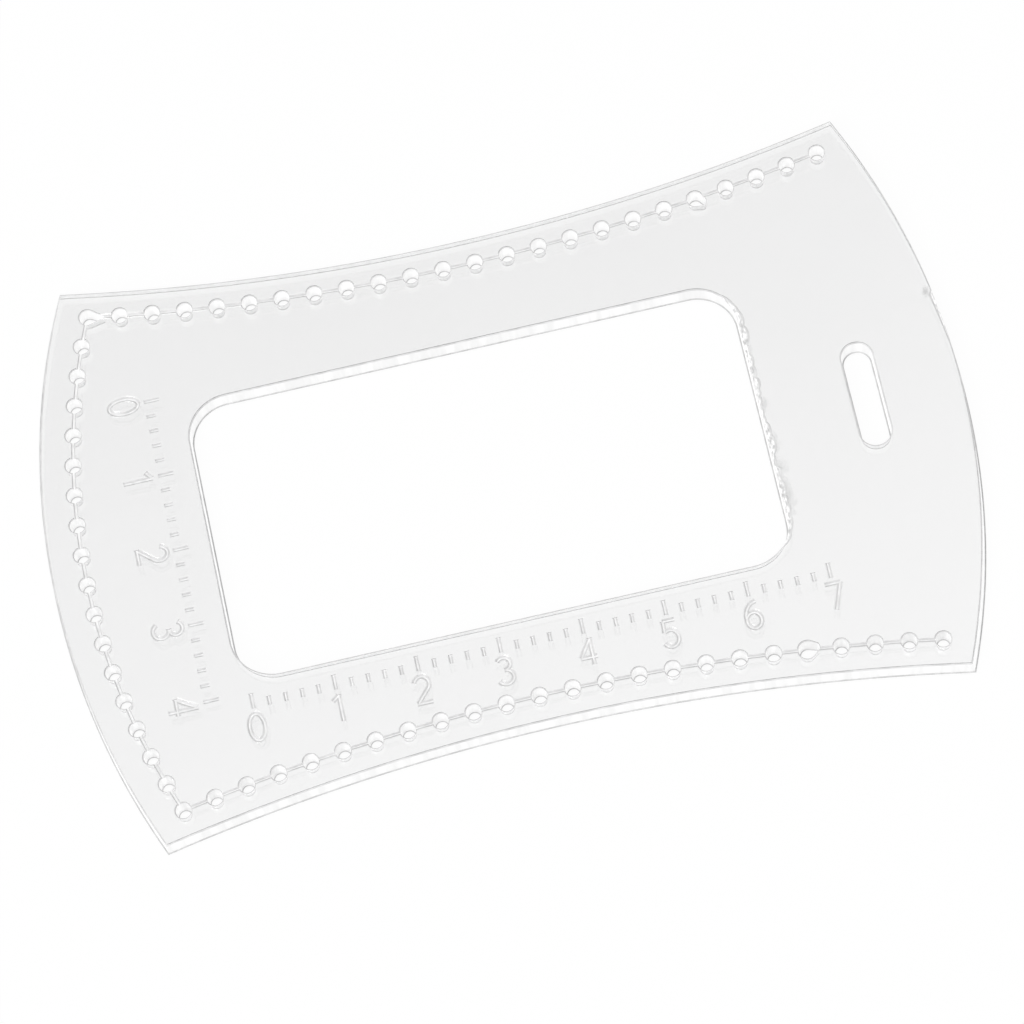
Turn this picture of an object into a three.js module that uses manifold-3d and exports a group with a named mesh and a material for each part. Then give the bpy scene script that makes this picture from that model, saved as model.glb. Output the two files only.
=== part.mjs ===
// Leather craft template: a clear laser-cut acrylic plate for marking out a card holder.
// It has a window, a strap slot near one end, and stitch marking holes along the other
// three sides, joined by an engraved guide line. The thin masking film that the sheet is
// cut with is still on both faces, and the engraving goes through the front one.
//
// Millimetres. X runs along the length, towards the slot end, Y across, and Z up.
// The origin is under the middle of the plate, on the surface that it lies on.

import * as THREE from 'three';
import { mergeVertices } from 'three/addons/utils/BufferGeometryUtils.js';
import Module from 'manifold-3d';

// Outline, measured at the front face. The long sides curve in and the ends curve out.
const cornerLength = 96.8;
const cornerWidth = 73.5;
const sideHollow = 4.85;
const endBulge = 7.4;

// Thicknesses
const plateThickness = 2.3;
const filmThickness = 0.1;

// The laser beam narrows on its way down, so each cut wall leans by this much: the plate
// is larger at its back face than at its front face, and the openings are smaller there.
const kerfLean = 0.18;

// Strap slot, across the plate, with fully round ends
const slotWidth = 3.8;
const slotLength = 13.6;
const slotEndRim = 9.6;

// Window, placed by the rims that are left around it
const windowSideRim = 13.4;
const windowEndRim = 19.5;
const windowSlotBridge = 10.9;
const windowCornerRadius = 5.2;

// Stitch marking holes
const stitchPitch = 4;
const stitchHoleRadius = 1;
const stitchSideMargin = 3.3;
const stitchEndMargin = 4;

// Guide line, engraved from hole to hole
const guideLineWidth = 0.45;
const guideLineDepth = 0.15;

// Fineness of the curves
const outlineStep = 3;
const stitchHoleFacets = 16;
const filletFacets = 6;
const slotEndFacets = 8;

// The outline's arcs. Those of the long sides are centred beyond each side, and those of
// the ends beyond the middle of the plate.
const arcRadius = (halfChord, rise) => (halfChord ** 2 + rise ** 2) / (2 * rise);
const sideRadius = arcRadius(cornerLength / 2, sideHollow);
const endRadius = arcRadius(cornerWidth / 2, endBulge);
const sideCentre = cornerWidth / 2 - sideHollow + sideRadius;
const endCentre = endRadius - cornerLength / 2 - endBulge;

// A point on a long side's arc, at an angle from the side's middle. The side is 1 or -1,
// and grow moves the arc outwards from the plate, or inwards if it is negative.
function sidePoint(side, grow, angle) {
  const radius = sideRadius - grow;
  return new THREE.Vector2(radius * Math.sin(angle), side * (sideCentre - radius * Math.cos(angle)));
}

// A point on an end's arc, at an angle from the end's crest. The slot end is 1.
function endPoint(end, grow, angle) {
  const radius = endRadius + grow;
  return new THREE.Vector2(end * (radius * Math.cos(angle) - endCentre), radius * Math.sin(angle));
}

// Where a side's arc and an end's arc meet, as the angle of that corner on each of them
function cornerAngles(sideGrow, endGrow) {
  const fromSide = new THREE.Vector2(-endCentre, -sideCentre);
  const distance = fromSide.length();
  const sideArc = sideRadius - sideGrow;
  const endArc = endRadius + endGrow;
  const along = (sideArc ** 2 - endArc ** 2 + distance ** 2) / (2 * distance);
  const across = Math.sqrt(sideArc ** 2 - along ** 2);
  const direction = fromSide.divideScalar(distance);
  const cornerX = along * direction.x - across * direction.y;
  const cornerY = sideCentre + along * direction.y + across * direction.x;
  return { onSide: Math.asin(cornerX / sideArc), onEnd: Math.asin(cornerY / endArc) };
}

// Both faces' outlines have as many steps as the front face needs
const frontCorner = cornerAngles(0, 0);
const sideSteps = Math.ceil((2 * frontCorner.onSide * sideRadius) / outlineStep);
const endSteps = Math.ceil((2 * frontCorner.onEnd * endRadius) / outlineStep);

// The plate's outline as an anticlockwise loop, from the corner at +X, +Y
function outlineLoop(grow) {
  const { onSide, onEnd } = cornerAngles(grow, grow);
  const loop = [];
  for (const turn of [1, -1]) {
    for (let step = 0; step < sideSteps; step += 1) {
      loop.push(sidePoint(turn, grow, turn * onSide * (1 - (2 * step) / sideSteps)));
    }
    for (let step = 0; step < endSteps; step += 1) {
      loop.push(endPoint(-turn, grow, turn * onEnd * (1 - (2 * step) / endSteps)));
    }
  }
  return loop;
}

// A rectangle with round corners, as a clockwise loop
function roundedOpening(centre, halfLength, halfWidth, radius, facets) {
  const loop = [];
  for (const quarter of [0, 1, 2, 3]) {
    const sideX = quarter === 0 || quarter === 3 ? 1 : -1;
    const sideY = quarter < 2 ? -1 : 1;
    for (let step = 0; step <= facets; step += 1) {
      const angle = -((quarter + step / facets) * Math.PI) / 2;
      loop.push(
        new THREE.Vector2(
          centre.x + sideX * (halfLength - radius) + radius * Math.cos(angle),
          centre.y + sideY * (halfWidth - radius) + radius * Math.sin(angle),
        ),
      );
    }
  }
  return loop;
}

// The window, between its rims. Its corners stay round however narrow it is.
function windowLoop(shrink) {
  const slotEdge = cornerLength / 2 + endBulge - slotEndRim - slotWidth;
  const left = windowEndRim - cornerLength / 2 - endBulge;
  const right = slotEdge - windowSlotBridge;
  const halfLength = (right - left) / 2 - shrink;
  const halfWidth = cornerWidth / 2 - sideHollow - windowSideRim - shrink;
  const radius = Math.min(windowCornerRadius - shrink, halfLength / 2, halfWidth / 2);
  const centre = new THREE.Vector2((left + right) / 2, 0);
  return roundedOpening(centre, halfLength, halfWidth, radius, filletFacets);
}

// The strap slot. Each round end is a half circle.
function slotLoop(shrink) {
  const centre = new THREE.Vector2(cornerLength / 2 + endBulge - slotEndRim - slotWidth / 2, 0);
  const radius = slotWidth / 2 - shrink;
  const halfStraight = (slotLength - slotWidth) / 2;
  const loop = [];
  for (const end of [-1, 1]) {
    for (let step = 0; step <= slotEndFacets; step += 1) {
      const angle = (-Math.PI * step) / slotEndFacets;
      loop.push(
        new THREE.Vector2(
          centre.x - end * radius * Math.cos(angle),
          centre.y + end * (halfStraight - radius * Math.sin(angle)),
        ),
      );
    }
  }
  return loop;
}

// The three rows of stitch holes, as lists of their centres. Both long rows start at the
// corners of the plain end and have the number of pitches nearest to their length. The row
// along the plain end runs between their first holes.
function stitchRows() {
  const { onSide, onEnd } = cornerAngles(-stitchSideMargin, -stitchEndMargin);
  const sideStep = 2 * Math.asin(stitchPitch / 2 / (sideRadius + stitchSideMargin));
  const sideHoles = Math.round((2 * onSide) / sideStep) + 1;
  const endRowLength = 2 * onEnd * (endRadius - stitchEndMargin);
  const endGaps = Math.round(endRowLength / stitchPitch);
  const [upperRow, lowerRow, endRow] = [[], [], []];
  for (let hole = 0; hole < sideHoles; hole += 1) {
    upperRow.push(sidePoint(1, -stitchSideMargin, hole * sideStep - onSide));
    lowerRow.push(sidePoint(-1, -stitchSideMargin, hole * sideStep - onSide));
  }
  for (let hole = 0; hole <= endGaps; hole += 1) {
    endRow.push(endPoint(-1, -stitchEndMargin, onEnd * (1 - (2 * hole) / endGaps)));
  }
  return [upperRow, lowerRow, endRow];
}

// A round hole as a clockwise loop
function holeLoop(centre, radius) {
  const loop = [];
  for (let facet = 0; facet < stitchHoleFacets; facet += 1) {
    const angle = (-2 * Math.PI * facet) / stitchHoleFacets;
    const spoke = new THREE.Vector2(radius * Math.cos(angle), radius * Math.sin(angle));
    loop.push(spoke.add(centre));
  }
  return loop;
}

// All loops of one face: the outline, then the openings. The lean is how far the walls
// have come in towards the openings, and out from the plate, at that face.
function faceLoops(lean) {
  const [upperRow, lowerRow, endRow] = stitchRows();
  const centres = [...upperRow, ...lowerRow, ...endRow.slice(1, -1)];
  const holes = centres.map((centre) => holeLoop(centre, stitchHoleRadius - lean));
  return [outlineLoop(lean), windowLoop(lean), slotLoop(lean), ...holes];
}

// A closed slab between two flat faces whose loops match point for point
function slabGeometry(lowerLoops, upperLoops, lowerZ, upperZ) {
  const lower = lowerLoops.flat();
  const upper = upperLoops.flat();
  const positions = [
    ...lower.flatMap((point) => [point.x, point.y, lowerZ]),
    ...upper.flatMap((point) => [point.x, point.y, upperZ]),
  ];
  const indices = [];
  for (const [a, b, c] of THREE.ShapeUtils.triangulateShape(lowerLoops[0], lowerLoops.slice(1))) {
    indices.push(c, b, a);
  }
  for (const [a, b, c] of THREE.ShapeUtils.triangulateShape(upperLoops[0], upperLoops.slice(1))) {
    indices.push(lower.length + a, lower.length + b, lower.length + c);
  }
  let first = 0;
  for (const loop of lowerLoops) {
    for (let point = 0; point < loop.length; point += 1) {
      const here = first + point;
      const next = first + ((point + 1) % loop.length);
      indices.push(here, next, lower.length + next);
      indices.push(here, lower.length + next, lower.length + here);
    }
    first += loop.length;
  }
  const geometry = new THREE.BufferGeometry();
  geometry.setAttribute('position', new THREE.Float32BufferAttribute(positions, 3));
  geometry.setIndex(indices);
  return geometry;
}

// Solids for the cuts
const wasm = await Module();
wasm.setup();

function solidOf(geometry) {
  geometry.deleteAttribute('normal');
  geometry.deleteAttribute('uv');
  const merged = mergeVertices(geometry);
  const vertProperties = Float32Array.from(merged.getAttribute('position').array);
  const triVerts = Uint32Array.from(merged.getIndex().array);
  return new wasm.Manifold(new wasm.Mesh({ numProp: 3, vertProperties, triVerts }));
}

function geometryOf(solid) {
  const mesh = solid.getMesh();
  const geometry = new THREE.BufferGeometry();
  geometry.setAttribute('position', new THREE.BufferAttribute(mesh.vertProperties, 3));
  geometry.setIndex(new THREE.BufferAttribute(mesh.triVerts, 1));
  geometry.computeVertexNormals();
  return geometry;
}

// The cut of the guide line: a bar between each two neighbouring holes, from centre to
// centre, from the line's floor to above the front film
function guideLineCut(floorZ, topZ) {
  let cut = null;
  for (const row of stitchRows()) {
    for (let hole = 1; hole < row.length; hole += 1) {
      const run = row[hole].clone().sub(row[hole - 1]);
      const middle = row[hole].clone().add(row[hole - 1]).multiplyScalar(0.5);
      const bar = new THREE.BoxGeometry(run.length(), guideLineWidth, topZ - floorZ);
      bar.rotateZ(run.angle());
      bar.translate(middle.x, middle.y, (floorZ + topZ) / 2);
      cut = cut ? cut.add(solidOf(bar)) : solidOf(bar);
    }
  }
  return cut;
}

// Clear acrylic, and the slightly duller film on it
const clearAcrylic = new THREE.MeshStandardMaterial({
  color: 0xeeeeee,
  roughness: 0.04,
  metalness: 0,
  transparent: true,
  opacity: 0.35,
});
const maskingFilm = new THREE.MeshStandardMaterial({
  color: 0xe6e6e6,
  roughness: 0.2,
  metalness: 0,
  transparent: true,
  opacity: 0.25,
});

// The plate between its two films
const frontLoops = faceLoops(0);
const backLoops = faceLoops(kerfLean);
const plateBase = filmThickness;
const plateTop = plateBase + plateThickness;
const filmTop = plateTop + filmThickness;
const guideLine = guideLineCut(plateTop - guideLineDepth, filmTop + guideLineDepth);

const template = new THREE.Group();

const acrylicPlate = new THREE.Mesh(
  geometryOf(solidOf(slabGeometry(backLoops, frontLoops, plateBase, plateTop)).subtract(guideLine)),
  clearAcrylic,
);
acrylicPlate.name = 'acrylic_plate';
template.add(acrylicPlate);

const frontMaskingFilm = new THREE.Mesh(
  geometryOf(solidOf(slabGeometry(frontLoops, frontLoops, plateTop, filmTop)).subtract(guideLine)),
  maskingFilm,
);
frontMaskingFilm.name = 'front_masking_film';
template.add(frontMaskingFilm);

const backMaskingFilm = new THREE.Mesh(
  geometryOf(solidOf(slabGeometry(backLoops, backLoops, 0, plateBase))),
  maskingFilm.clone(),
);
backMaskingFilm.name = 'back_masking_film';
template.add(backMaskingFilm);

export default template;
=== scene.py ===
"""Dresses the leather craft template: a clear laser-cut plate between two masking films.

The plate and its films take the places of their solids in the frame. Lengths in the
dataclasses are in millimetres unless they say otherwise, and meshes are written in metres.
"""

import logging
import math
import random
from dataclasses import dataclass
from enum import Enum
from typing import Any, Callable, Iterable, Sequence

import bmesh
import bpy
from mathutils import Matrix, Vector
from mathutils.geometry import tessellate_polygon


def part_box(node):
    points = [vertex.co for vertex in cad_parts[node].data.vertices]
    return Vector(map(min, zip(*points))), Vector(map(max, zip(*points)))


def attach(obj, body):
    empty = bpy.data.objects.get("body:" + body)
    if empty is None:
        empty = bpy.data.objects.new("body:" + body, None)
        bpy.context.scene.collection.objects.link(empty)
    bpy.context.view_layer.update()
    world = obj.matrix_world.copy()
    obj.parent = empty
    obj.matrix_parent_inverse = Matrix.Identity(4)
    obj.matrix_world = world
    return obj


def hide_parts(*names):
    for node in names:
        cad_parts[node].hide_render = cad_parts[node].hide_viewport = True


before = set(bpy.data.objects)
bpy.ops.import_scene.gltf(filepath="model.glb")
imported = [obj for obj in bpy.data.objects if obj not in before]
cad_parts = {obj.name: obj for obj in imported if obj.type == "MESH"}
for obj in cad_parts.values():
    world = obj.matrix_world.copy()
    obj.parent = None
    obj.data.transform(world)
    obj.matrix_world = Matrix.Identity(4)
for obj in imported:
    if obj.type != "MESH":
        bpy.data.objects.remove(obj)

MM = 0.001
# Nearer than this, in millimetres, the ends of a path are one point
CLOSED_WITHIN = 1e-6
# Nearer than this, in metres, corners of a mesh are merged
MERGED_WITHIN = 1e-7
# Edges that turn by more than this are shaded sharp
SHARP_FROM = math.radians(15)
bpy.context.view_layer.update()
LOG = logging.getLogger("leather_template")

Point = tuple[float, float]
Triple = tuple[float, float, float]
Loop = list[Point]


class Node(Enum):
    """The solids of the frame that the visual pieces stand for."""

    PLATE = "acrylic_plate"
    FRONT_FILM = "front_masking_film"
    BACK_FILM = "back_masking_film"


class Slot(Enum):
    """Two material slot names."""

    ACRYLIC = "clear_acrylic"
    FILM = "masking_film"


class Surface(Enum):
    """Surfaces of the cut plate, in the order of its material slots."""

    POLISHED = 0
    CUT_WALL = 1
    HOLE_WALL = 2
    MELTED = 3
    BEAD = 4
    GROOVE_SIDE = 5
    GROOVE_FLOOR = 6
    BROKEN = 7


# Node trees


class Value:
    """A number socket whose arithmetic adds Math nodes to its tree."""

    def __init__(self, graph: "Graph", socket: bpy.types.NodeSocket) -> None:
        """Wraps a socket.

        Args:
            graph: The tree that the socket belongs to.
            socket: The output socket.
        """
        self.graph = graph
        self.socket = socket

    def math(self, operation: str, other: Any) -> "Value":
        """Adds a Math node with this value and another one or a number."""
        return self.graph.value("ShaderNodeMath", {"operation": operation}, {0: self, 1: other})

    def __add__(self, other: Any) -> "Value":
        """Sum."""
        return self.math("ADD", other)

    def __mul__(self, other: Any) -> "Value":
        """Product."""
        return self.math("MULTIPLY", other)

    def __sub__(self, other: Any) -> "Value":
        """Difference."""
        return self.math("SUBTRACT", other)

    def __rsub__(self, other: float) -> "Value":
        """Difference from a number."""
        return self.graph.value("ShaderNodeMath", {"operation": "SUBTRACT"}, {0: other, 1: self})

    def __truediv__(self, other: Any) -> "Value":
        """Quotient."""
        return self.math("DIVIDE", other)

    __radd__ = __add__
    __rmul__ = __mul__

    def smooth(self, low: float, high: float) -> "Value":
        """Smooth step from 0 at low to 1 at high."""
        inputs = {"Value": self, "From Min": low, "From Max": high}
        return self.graph.value("ShaderNodeMapRange", {"interpolation_type": "SMOOTHSTEP"}, inputs)

    def scaled(self, low: float, high: float) -> "Value":
        """Maps 0 to low and 1 to high."""
        return self * (high - low) + low


class Graph:
    """Adds nodes to one shader or geometry tree."""

    def __init__(self, tree: bpy.types.NodeTree) -> None:
        """Wraps a node tree."""
        self.tree = tree

    def node(self, kind: str, settings: dict | None = None, inputs: dict | None = None) -> Any:
        """Adds any node.

        Args:
            kind: The node's type.
            settings: Its properties, set before its sockets.
            inputs: Its inputs by name or index: numbers, colours, sockets or values.

        Returns:
            The node.
        """
        node = self.tree.nodes.new(kind)
        for name, setting in (settings or {}).items():
            setattr(node, name, setting)
        for name, given in (inputs or {}).items():
            source = given.socket if isinstance(given, Value) else given
            if isinstance(source, bpy.types.NodeSocket):
                self.tree.links.new(source, node.inputs[name])
            else:
                node.inputs[name].default_value = source
        return node

    def value(
        self, kind: str, settings: dict | None = None, inputs: dict | None = None, output: str | int = 0
    ) -> Value:
        """Adds a node and wraps one of its outputs."""
        return Value(self, self.node(kind, settings, inputs).outputs[output])

    def noise(self, where: bpy.types.NodeSocket, grain: Triple, octaves: float = 2.0) -> Value:
        """Noise between 0 and 1, centred on about a half.

        Args:
            where: The coordinates.
            grain: Cycles per metre along each axis.
            octaves: Number of octaves.

        Returns:
            The noise's value.
        """
        stretch = {"Vector": where, "Scale": grain}
        stretched = self.node("ShaderNodeMapping", {"vector_type": "POINT"}, stretch)
        inputs = {"Vector": stretched.outputs["Vector"], "Scale": 1.0, "Detail": octaves}
        return self.value("ShaderNodeTexNoise", {"noise_dimensions": "3D"}, inputs)

    def grey(self, brightness: Value) -> bpy.types.NodeSocket:
        """A neutral colour of a varying brightness."""
        ends = {0: brightness, 6: (0.0, 0.0, 0.0, 1.0), 7: (1.0, 1.0, 1.0, 1.0)}
        return self.node("ShaderNodeMix", {"data_type": "RGBA"}, ends).outputs[2]

    def vectors(self, operation: str, first: Any, second: Any) -> bpy.types.NodeSocket:
        """Adds a Vector Math node that gives a vector."""
        node = self.node("ShaderNodeVectorMath", {"operation": operation}, {0: first, 1: second})
        return node.outputs[0]

    def length(self, vector: bpy.types.NodeSocket) -> Value:
        """Length of a vector."""
        return self.value("ShaderNodeVectorMath", {"operation": "LENGTH"}, {0: vector}, "Value")

    def toward(self, direction: bpy.types.NodeSocket, axis: Triple) -> Value:
        """How far a direction points along an axis."""
        settings = {"operation": "DOT_PRODUCT"}
        return self.value("ShaderNodeVectorMath", settings, {0: direction, 1: axis}, "Value")


class GeometryTree(Graph):
    """A Geometry Nodes tree with named inputs, made into a plain mesh."""

    KINDS = {float: "NodeSocketFloat", int: "NodeSocketInt", object: "NodeSocketObject"}

    def __init__(self, name: str, inputs: dict[str, type]) -> None:
        """Makes the tree.

        Args:
            name: The tree's name.
            inputs: Each named input and its type.
        """
        super().__init__(bpy.data.node_groups.new(name, "GeometryNodeTree"))
        face = self.tree.interface
        face.new_socket("Geometry", in_out="INPUT", socket_type="NodeSocketGeometry")
        face.new_socket("Geometry", in_out="OUTPUT", socket_type="NodeSocketGeometry")
        for label, kind in inputs.items():
            face.new_socket(label, in_out="INPUT", socket_type=self.KINDS[kind])
        self.entry = self.tree.nodes.new("NodeGroupInput").outputs

    def number(self, label: str) -> Value:
        """A named input as a value."""
        return Value(self, self.entry[label])

    def close(self, geometry: bpy.types.NodeSocket, material: bpy.types.Material) -> None:
        """Ends the tree with real geometry and its material.

        Args:
            geometry: What the tree has made.
            material: The material of all of it.
        """
        real = self.node("GeometryNodeRealizeInstances", None, {"Geometry": geometry})
        inputs = {"Geometry": real.outputs[0], "Material": material}
        dressed = self.node("GeometryNodeSetMaterial", None, inputs)
        self.node("NodeGroupOutput", None, {"Geometry": dressed.outputs[0]})

    def made(self, source: bpy.types.Object, values: dict[str, Any]) -> bpy.types.Object:
        """Runs the tree on an object.

        Args:
            source: The object that gives the geometry. It is removed.
            values: The named inputs' values.

        Returns:
            A new object with the result as a plain mesh.
        """
        modifier = source.modifiers.new(self.tree.name, "NODES")
        modifier.node_group = self.tree
        for item in self.tree.interface.items_tree:
            if item.in_out == "INPUT" and item.name in values:
                modifier[item.identifier] = values[item.name]
        return baked(source, source.name + "_made")


def baked(source: bpy.types.Object, name: str) -> bpy.types.Object:
    """Replaces an object by the plain mesh of its evaluated shape.

    Args:
        source: The object. It is removed, with its modifiers.
        name: The new object's name.

    Returns:
        The new object.
    """
    graph = bpy.context.evaluated_depsgraph_get()
    mesh = bpy.data.meshes.new_from_object(source.evaluated_get(graph), depsgraph=graph)
    mesh.name = name
    bpy.data.objects.remove(source)
    return placed(name, mesh)


def placed(name: str, data: Any) -> bpy.types.Object:
    """Links a new object at the origin.

    Args:
        name: Its name.
        data: Its mesh, curve, lamp or camera.

    Returns:
        The object.
    """
    thing = bpy.data.objects.new(name, data)
    bpy.context.scene.collection.objects.link(thing)
    return thing


def path_object(name: str, path: Loop, height: float) -> bpy.types.Object:
    """A curve of straight segments.

    Args:
        name: Its name.
        path: Its points. A path that ends where it starts is closed.
        height: Its height in millimetres.

    Returns:
        The curve object.
    """
    closed = math.dist(path[0], path[-1]) < CLOSED_WITHIN
    points = path[:-1] if closed else path
    curve = bpy.data.curves.new(name, "CURVE")
    curve.dimensions = "3D"
    spline = curve.splines.new("POLY")
    spline.points.add(len(points) - 1)
    spline.use_cyclic_u = closed
    for point, (x, y) in zip(spline.points, points):
        point.co = (x * MM, y * MM, height * MM, 1.0)
    return placed(name, curve)


# Finishes


def emptied(owner: bpy.types.Material | bpy.types.World) -> Graph:
    """Gives a material or a world an empty node tree.

    Args:
        owner: The material or the world.

    Returns:
        Its tree.
    """
    owner.use_nodes = True
    owner.node_tree.nodes.clear()
    return Graph(owner.node_tree)


@dataclass(frozen=True)
class Finish:
    """A clear plastic surface.

    Its colour and its glow vary between two ends over a noise pattern, and its roughness
    over a finer one. The glow is painted light, an emission that makes a surface look lit
    though it is no lamp. Grains are cycles per metre along each axis, and the bump's height
    is in millimetres. Clear is the share of light that passes through.
    """

    name: str
    tint: tuple[float, float]
    roughness: tuple[float, float] = (0.0, 0.02)
    grain: Triple = (60.0, 60.0, 60.0)
    octaves: float = 3.0
    contrast: tuple[float, float] = (0.3, 0.7)
    bump: float = 0.0
    bump_grain: Triple = (2000.0, 2000.0, 2000.0)
    ior: float = 1.49
    clear: float = 1.0
    glow: tuple[float, float] | None = None

    def pattern(self, graph: Graph, where: bpy.types.NodeSocket) -> Value:
        """The pattern that the colour follows, from 0 to 1."""
        return graph.noise(where, self.grain, self.octaves).smooth(*self.contrast)

    def build(self) -> bpy.types.Material:
        """Makes the material.

        Returns:
            The material, with one shader.
        """
        material = bpy.data.materials.new(self.name)
        graph = emptied(material)
        where = graph.node("ShaderNodeTexCoord").outputs["Object"]
        pattern = self.pattern(graph, where)
        fine = graph.noise(where, self.bump_grain)
        inputs = {
            "Base Color": graph.grey(pattern.scaled(*self.tint)),
            "Roughness": fine.scaled(*self.roughness),
            "IOR": self.ior,
            "Transmission Weight": self.clear,
        }
        # Painted light: the glow is an emission that makes the surface look brightly lit
        if self.glow:
            inputs["Emission Color"] = graph.grey(pattern.scaled(*self.glow))
            inputs["Emission Strength"] = 1.0
        if self.bump > 0:
            bump = graph.node("ShaderNodeBump", None, {"Distance": self.bump * MM, "Height": fine})
            inputs["Normal"] = bump.outputs["Normal"]
        shader = graph.node("ShaderNodeBsdfPrincipled", None, inputs)
        graph.node("ShaderNodeOutputMaterial", None, {"Surface": shader.outputs[0]})
        return material


@dataclass(frozen=True)
class Smudge:
    """A soft darker patch of the film, in millimetres on the front face."""

    middle: Point
    reach: Point
    strength: float


@dataclass(frozen=True)
class SmudgedFinish(Finish):
    """A finish that soft patches darken.

    Plain is the lower end of the pattern between the patches. A patch is darkest inside
    its core, a share of its reach, and its edge is as ragged as raggedness says.
    """

    smudges: tuple[Smudge, ...] = ()
    plain: float = 0.99
    core: float = 0.1
    raggedness: float = 0.9
    ragged_grain: Triple = (1400.0, 1400.0, 0.0)

    def pattern(self, graph: Graph, where: bpy.types.NodeSocket) -> Value:
        """The plain pattern near 1, lowered at each dark patch.

        Args:
            graph: The material's tree.
            where: The coordinates on the piece.

        Returns:
            The pattern.
        """
        clean = super().pattern(graph, where).scaled(self.plain, 1.0)
        ragged = graph.noise(where, self.ragged_grain, self.octaves)
        for dark_patch in self.smudges:
            (x, y), (reach_x, reach_y) = dark_patch.middle, dark_patch.reach
            offset = graph.vectors("SUBTRACT", where, (x * MM, y * MM, 0.0))
            relative = graph.vectors("DIVIDE", offset, (reach_x * MM, reach_y * MM, 1.0))
            away = graph.length(relative) + (ragged - 0.5) * self.raggedness
            clean = clean * (1.0 - (1.0 - away.smooth(self.core, 1.0)) * dark_patch.strength)
        return clean


POLISHED = Finish("polished_acrylic", tint=(0.996, 1.0))
# Painted light: the cut walls glow white, for the light that the clear plastic lets through them
CUT_WALL = Finish(
    "laser_cut_wall",
    tint=(0.13, 0.17),
    roughness=(0.4, 0.6),
    clear=0.05,
    glow=(0.73, 0.78),
    grain=(900.0, 900.0, 60.0),
    bump=0.01,
    bump_grain=(2600.0, 2600.0, 120.0),
)
# Painted light: the stitch holes' walls glow, for the light that the clear plastic lets through them
HOLE_WALL = Finish(
    "stitch_hole_wall",
    tint=(0.41, 0.46),
    roughness=(0.4, 0.6),
    clear=0.4,
    glow=(0.49, 0.54),
    grain=(1500.0, 1500.0, 300.0),
    bump=0.01,
    bump_grain=(2600.0, 2600.0, 120.0),
)
# Painted shade: the melted rims are tinted grey to draw the dark lines that refraction shows along the
# cut edges; their roughness and bump stand for the real melt
MELTED = Finish(
    "melted_edge",
    tint=(0.62, 0.76),
    roughness=(0.3, 0.5),
    clear=0.15,
    grain=(700.0, 700.0, 700.0),
    bump=0.015,
)
# Painted shade: the back beads are tinted grey to draw the dark second line that refraction shows along
# the cut edges; their roughness and bump stand for the real melt
BEAD = Finish(
    "melted_bead",
    tint=(0.54, 0.68),
    roughness=(0.3, 0.5),
    clear=0.15,
    grain=(700.0, 700.0, 700.0),
    bump=0.015,
)
# Painted shade: the grooves' sides are tinted grey to draw the dark outlines of the engraved lines
GROOVE_SIDE = Finish(
    "groove_side",
    tint=(0.6, 0.72),
    roughness=(0.3, 0.5),
    clear=0.15,
    grain=(900.0, 900.0, 900.0),
    bump=0.01,
)
# Painted light: the grooves' floors glow a little, for the bright cores of the engraved lines
GROOVE_FLOOR = Finish(
    "groove_floor",
    tint=(0.72, 0.82),
    roughness=(0.3, 0.5),
    clear=0.3,
    glow=(0.1, 0.18),
    grain=(1500.0, 1500.0, 1500.0),
    bump=0.01,
    bump_grain=(5000.0, 5000.0, 5000.0),
)
# The chips are real; their bright and dark marks are painted light and painted shade, a glow and a dark
# tint that vary over the noise
BROKEN = Finish(
    "broken_edge",
    tint=(0.2, 0.5),
    roughness=(0.2, 0.5),
    clear=0.2,
    glow=(0.3, 0.62),
    grain=(2600.0, 1500.0, 2600.0),
    octaves=4.0,
    bump=0.04,
    bump_grain=(3500.0, 2000.0, 3500.0),
)
FRONT_FILM = SmudgedFinish(
    "front_masking_film",
    tint=(0.6, 1.0),
    roughness=(0.0, 0.03),
    grain=(25.0, 25.0, 25.0),
    # Soft darker patches beside the window's chipped edge, and one by the sliver at the slot's end
    smudges=(
        Smudge((31.8, 1.6), (1.2, 1.4), 0.36),
        Smudge((32.0, -3.6), (1.2, 2.0), 0.3),
        Smudge((32.1, -6.9), (1.3, 1.5), 0.34),
        Smudge((32.0, -10.6), (1.35, 3.4), 0.4),
        Smudge((31.7, 8.9), (0.9, 1.6), 0.2),
        Smudge((54.35, 11.4), (0.6, 1.0), 0.6),
    ),
)
BACK_FILM = Finish(
    "back_masking_film",
    tint=(0.996, 1.0),
    roughness=(0.0, 0.03),
    grain=(25.0, 25.0, 25.0),
)
PLATE_FINISHES: dict[Surface, Finish] = {
    Surface.POLISHED: POLISHED,
    Surface.CUT_WALL: CUT_WALL,
    Surface.HOLE_WALL: HOLE_WALL,
    Surface.MELTED: MELTED,
    Surface.BEAD: BEAD,
    Surface.GROOVE_SIDE: GROOVE_SIDE,
    Surface.GROOVE_FLOOR: GROOVE_FLOOR,
    Surface.BROKEN: BROKEN,
}


# Shape of the plate


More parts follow.
